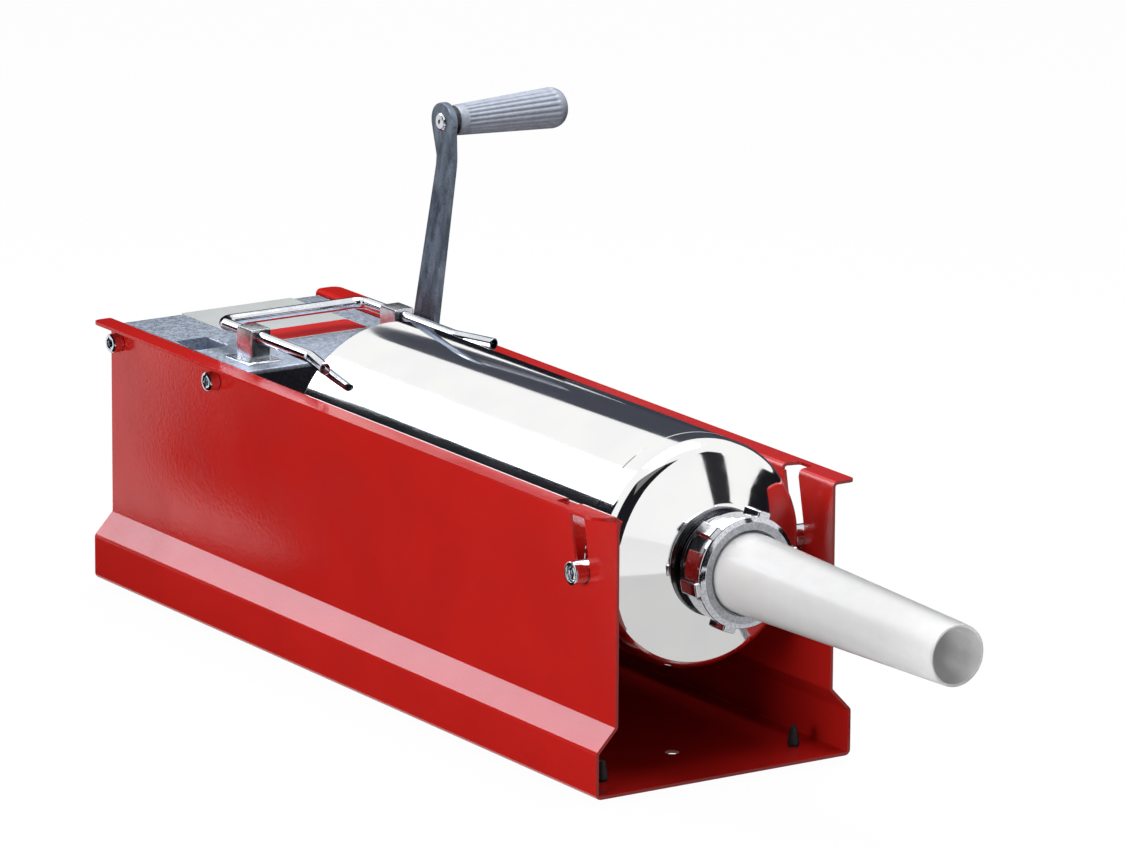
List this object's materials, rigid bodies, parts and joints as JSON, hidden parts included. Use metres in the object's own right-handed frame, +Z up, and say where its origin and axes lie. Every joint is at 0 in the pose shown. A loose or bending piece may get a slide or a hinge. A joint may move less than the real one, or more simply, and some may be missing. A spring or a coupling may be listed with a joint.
{
  "type": "sausage stuffer",
  "caption": "Horizontal hand-cranked sausage stuffer: folded sheet chassis, cast gearbox with rack and piston, steel barrel on trunnions, ring nut and tapered filling nozzle.",
  "frame": {"origin": "middle of the underside of the chassis floor; the rubber feet reach 4.5 mm lower", "axes": "+X along the machine towards the nozzle, +Y towards the crank side, +Z up"},
  "size_m": [0.8296, 0.3, 0.3157],
  "materials": {
    "paint": "gloss",
    "casting": "as cast",
    "stainless": "polished",
    "chrome": "polished",
    "steel": "machined",
    "gear_steel": "machined",
    "galvanised": "galvanised",
    "bronze": "machined",
    "rubber": "matte",
    "nylon": "machined",
    "white_plastic": "gloss",
    "black_plastic": "matte",
    "grip_plastic": "moulded"
  },
  "bodies": {
    "root": {"chassis": "paint", "foot_rear_near": "rubber", "foot_rear_far": "rubber", "foot_front_near": "rubber", "foot_front_far": "rubber", "gearbox_housing": "casting", "gearbox_cover": "steel", "cover_screw_1": "chrome", "cover_screw_2": "chrome", "cover_screw_3": "chrome", "cover_screw_4": "chrome", "housing_screw_rear_near": "chrome", "housing_screw_rear_far": "chrome", "housing_screw_front_near": "chrome", "housing_screw_front_far": "chrome", "drive_bush_near": "bronze", "drive_bush_far": "bronze", "pinion_bush_near": "bronze", "pinion_bush_far": "bronze", "barrel_tube": "stainless", "barrel_cap": "stainless", "spout_neck": "stainless", "trunnion_near": "chrome", "trunnion_far": "chrome", "trunnion_screw_near": "chrome", "trunnion_screw_far": "chrome", "barrel_saddle": "steel", "saddle_rivet_near": "steel", "saddle_rivet_far": "steel"},
    "crank": {"drive_shaft": "steel", "drive_pinion": "gear_steel", "crank_arm": "galvanised", "crank_washer": "chrome", "crank_nut": "chrome", "grip_pin": "chrome", "grip_collar": "black_plastic"},
    "grip": {"crank_grip": "grip_plastic"},
    "pinion": {"pinion_shaft": "steel", "rack_pinion": "gear_steel", "spur_gear": "gear_steel"},
    "ram": {"rack": "steel", "piston_plate": "steel", "piston_disc": "nylon", "piston_seal": "rubber", "piston_nut": "chrome"},
    "bail": {"lock_bail": "chrome"},
    "nozzle": {"nozzle": "white_plastic"},
    "ring_nut": {"ring_nut": "chrome"}
  },
  "joints": [
    {"name": "crank_turn", "type": "hinge", "parent": "root", "child": "crank", "pos_m": [-0.202, 0, 0.10945], "axis": [0, 1, 0], "range_deg": [0, 3525]},
    {"name": "pinion_turn", "type": "hinge", "parent": "root", "child": "pinion", "pos_m": [-0.2475, 0, 0.10945], "axis": [0, 1, 0], "range_deg": [-1299, 0]},
    {"name": "rack_slide", "type": "slide", "parent": "root", "child": "ram", "axis": [1, 0, 0], "range_m": [-0.3401, 0]},
    {"name": "grip_spin", "type": "hinge", "parent": "crank", "child": "grip", "pos_m": [-0.202, 0.165, 0.29765], "axis": [0, 1, 0], "continuous": true},
    {"name": "lock_slide", "type": "slide", "parent": "root", "child": "bail", "axis": [1, 0, 0], "range_m": [-0.05, 0]},
    {"name": "nozzle_slide", "type": "slide", "parent": "root", "child": "nozzle", "axis": [1, 0, 0], "range_m": [0, 0.01201]},
    {"name": "ring_nut_turn", "type": "hinge", "parent": "nozzle", "child": "ring_nut", "pos_m": [0.31, 0, 0.1323], "axis": [1, 0, 0], "range_deg": [0, 1440]}
  ],
  "couplings": [
    {"joint": "pinion_turn", "follows": "crank_turn", "ratio": -0.36842},
    {"joint": "rack_slide", "follows": "crank_turn", "m_per_rad": -0.0055263},
    {"joint": "nozzle_slide", "follows": "ring_nut_turn", "m_per_rad": 0.00047746}
  ]
}
